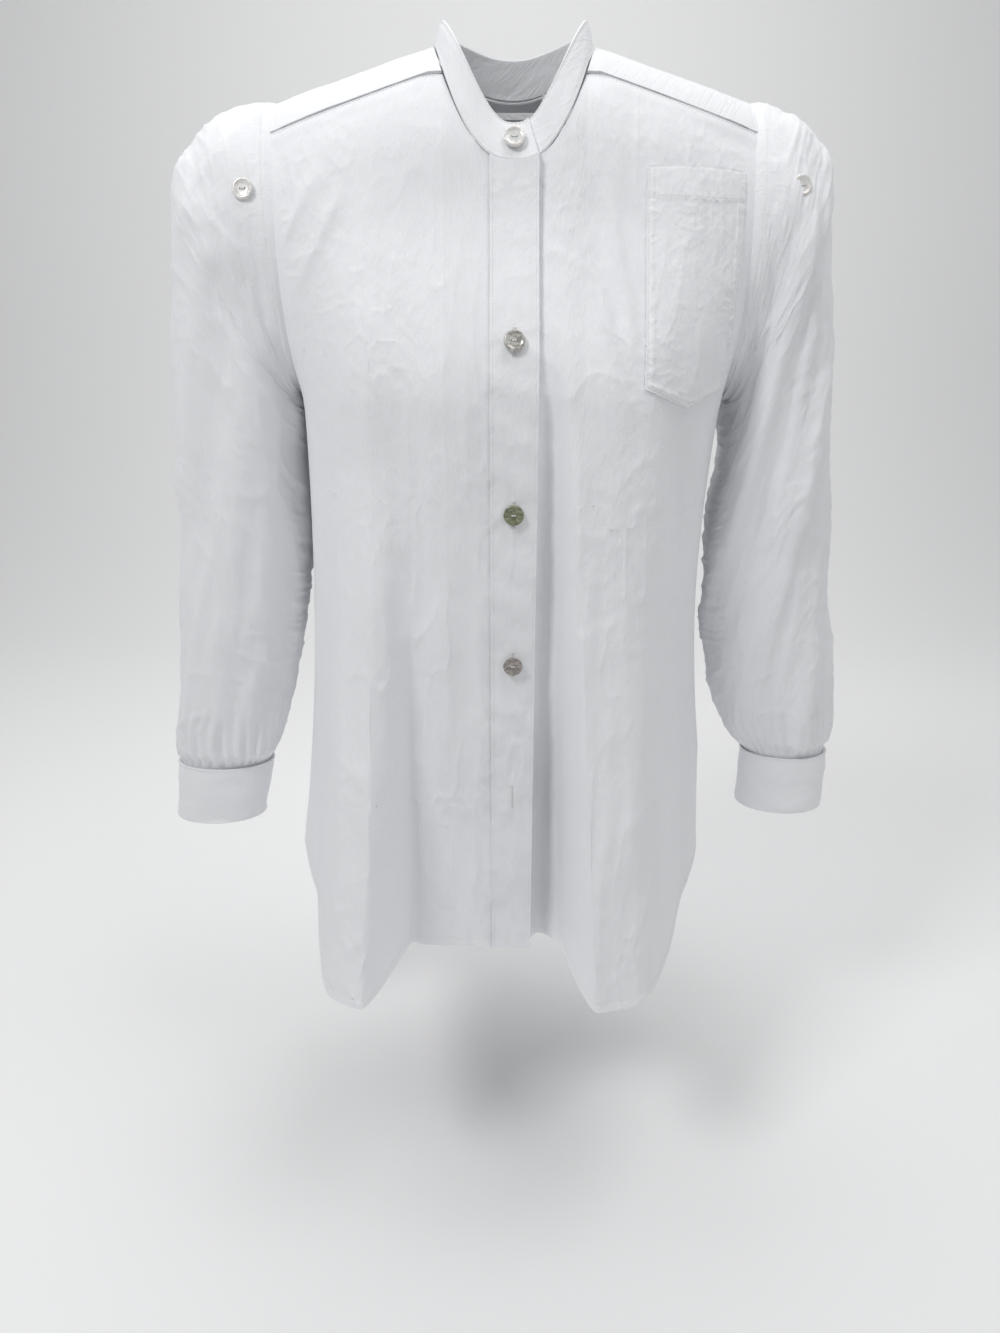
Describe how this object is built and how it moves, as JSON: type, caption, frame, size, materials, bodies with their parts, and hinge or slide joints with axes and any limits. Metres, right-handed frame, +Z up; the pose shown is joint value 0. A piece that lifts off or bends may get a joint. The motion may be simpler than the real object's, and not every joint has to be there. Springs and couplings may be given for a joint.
{
  "type": "patient gown",
  "caption": "Long-sleeved thigh-length cotton gown with button front, band collar, barrel cuffs and a chest pocket.",
  "frame": {"origin": "middle of the neck at the height of its highest point, where a hanger or a pair of shoulders holds it", "axes": "+Z up; -Y out of the buttoned front; +X to the wearer's left"},
  "size_m": [0.6779, 0.3351, 0.8082],
  "materials": {
    "poplin": "crisp white cotton poplin, fine plain weave, lightly creased",
    "interlining": "white non-woven interlining",
    "tape": "white woven cotton tape",
    "label": "white satin label, blank",
    "thread": "white polyester sewing thread",
    "clear_shell": "polished mother-of-pearl, translucent grey",
    "green_shell": "polished mother-of-pearl, olive green",
    "pink_shell": "polished mother-of-pearl, pinkish grey",
    "grey_shell": "polished mother-of-pearl, grey"
  },
  "bodies": {
    "trunk": {"right_front": "poplin", "left_front": "poplin", "back": "poplin", "yoke": "poplin", "yoke_facing": "poplin", "right_placket": "poplin", "left_placket": "poplin", "right_placket_interlining": "interlining", "collar_band_outer": "poplin", "collar_band_inner": "poplin", "collar_band_interlining": "interlining", "breast_pocket": "poplin", "neck_label": "label"},
    "right_sleeve_body": {"right_sleeve": "poplin", "right_sleeve_placket": "poplin"},
    "right_cuff_body": {"right_cuff_outer": "poplin", "right_cuff_interlining": "interlining", "right_cuff_inner": "poplin"},
    "right_roll_tab_body": {"right_roll_tab": "poplin"},
    "left_sleeve_body": {"left_sleeve": "poplin", "left_sleeve_placket": "poplin"},
    "left_cuff_body": {"left_cuff_outer": "poplin", "left_cuff_interlining": "interlining", "left_cuff_inner": "poplin"},
    "left_roll_tab_body": {"left_roll_tab": "poplin"},
    "hang_loop_body": {"hang_loop": "tape"},
    "front_button_1_body": {"front_button_1": "clear_shell", "front_button_1_thread": "thread"},
    "front_button_2_body": {"front_button_2": "green_shell", "front_button_2_thread": "thread"},
    "front_button_3_body": {"front_button_3": "pink_shell", "front_button_3_thread": "thread"},
    "front_button_4_body": {"front_button_4": "grey_shell", "front_button_4_thread": "thread"},
    "neck_button_body": {"neck_button": "grey_shell", "neck_button_thread": "thread"},
    "right_cuff_button_body": {"right_cuff_button": "grey_shell", "right_cuff_button_thread": "thread"},
    "left_cuff_button_body": {"left_cuff_button": "grey_shell", "left_cuff_button_thread": "thread"},
    "right_tab_button_body": {"right_tab_button": "grey_shell", "right_tab_button_thread": "thread"},
    "left_tab_button_body": {"left_tab_button": "grey_shell", "left_tab_button_thread": "thread"}
  },
  "joints": [
    {"name": "right_sleeve_swing", "type": "hinge", "parent": "trunk", "child": "right_sleeve_body", "pos_m": [-0.1844, 0, -0.145], "axis": [-1, 0, 0], "range_deg": [-10, 35]},
    {"name": "right_cuff_swing", "type": "hinge", "parent": "right_sleeve_body", "child": "right_cuff_body", "pos_m": [-0.29912, -0.01005, -0.605], "axis": [1, 0, 0], "range_deg": [-12, 12]},
    {"name": "left_sleeve_swing", "type": "hinge", "parent": "trunk", "child": "left_sleeve_body", "pos_m": [0.1844, 0, -0.145], "axis": [-1, 0, 0], "range_deg": [-10, 35]},
    {"name": "left_cuff_swing", "type": "hinge", "parent": "left_sleeve_body", "child": "left_cuff_body", "pos_m": [0.28177, -0.00985, -0.593], "axis": [1, 0, 0], "range_deg": [-12, 12]},
    {"name": "right_roll_tab_swing", "type": "hinge", "parent": "right_sleeve_body", "child": "right_roll_tab_body", "pos_m": [-0.20325, -0.05405, -0.1046], "axis": [1, 0, 0], "range_deg": [0, 40]},
    {"name": "left_roll_tab_swing", "type": "hinge", "parent": "left_sleeve_body", "child": "left_roll_tab_body", "pos_m": [0.21621, -0.05104, -0.1019], "axis": [1, 0, 0], "range_deg": [0, 40]},
    {"name": "hang_loop_swing", "type": "hinge", "parent": "trunk", "child": "hang_loop_body", "pos_m": [0, 0.03925, -0.0158], "axis": [-1, 0, 0], "range_deg": [0, 140]},
    {"name": "front_button_1_tilt", "type": "hinge", "parent": "trunk", "child": "front_button_1_body", "pos_m": [0, -0.122, -0.2132], "axis": [1, 0, 0], "range_deg": [-8, 8], "stiffness_Nm_per_rad": 0.002},
    {"name": "front_button_2_tilt", "type": "hinge", "parent": "trunk", "child": "front_button_2_body", "pos_m": [0, -0.1309, -0.338], "axis": [1, 0, 0], "range_deg": [-8, 8], "stiffness_Nm_per_rad": 0.002},
    {"name": "front_button_3_tilt", "type": "hinge", "parent": "trunk", "child": "front_button_3_body", "pos_m": [0, -0.1309, -0.461], "axis": [1, 0, 0], "range_deg": [-8, 8], "stiffness_Nm_per_rad": 0.002},
    {"name": "front_button_4_tilt", "type": "hinge", "parent": "trunk", "child": "front_button_4_body", "pos_m": [0, -0.1214, -0.584], "axis": [1, 0, 0], "range_deg": [-8, 8], "stiffness_Nm_per_rad": 0.002},
    {"name": "neck_button_tilt", "type": "hinge", "parent": "trunk", "child": "neck_button_body", "pos_m": [0, -0.0734, -0.0759], "axis": [0, 0, 1], "range_deg": [-8, 8], "stiffness_Nm_per_rad": 0.002},
    {"name": "right_cuff_button_tilt", "type": "hinge", "parent": "right_cuff_body", "child": "right_cuff_button_body", "pos_m": [-0.2993, 0.0149, -0.637], "axis": [0, 0, 1], "range_deg": [-8, 8], "stiffness_Nm_per_rad": 0.002},
    {"name": "left_cuff_button_tilt", "type": "hinge", "parent": "left_cuff_body", "child": "left_cuff_button_body", "pos_m": [0.2818, 0.0149, -0.625], "axis": [0, 0, 1], "range_deg": [-8, 8], "stiffness_Nm_per_rad": 0.002},
    {"name": "right_tab_button_tilt", "type": "hinge", "parent": "right_sleeve_body", "child": "right_tab_button_body", "pos_m": [-0.202, -0.0633, -0.1056], "axis": [1, 0, 0], "range_deg": [-8, 8], "stiffness_Nm_per_rad": 0.002},
    {"name": "left_tab_button_tilt", "type": "hinge", "parent": "left_sleeve_body", "child": "left_tab_button_body", "pos_m": [0.2155, -0.0603, -0.1029], "axis": [1, 0, 0], "range_deg": [-8, 8], "stiffness_Nm_per_rad": 0.002}
  ]
}
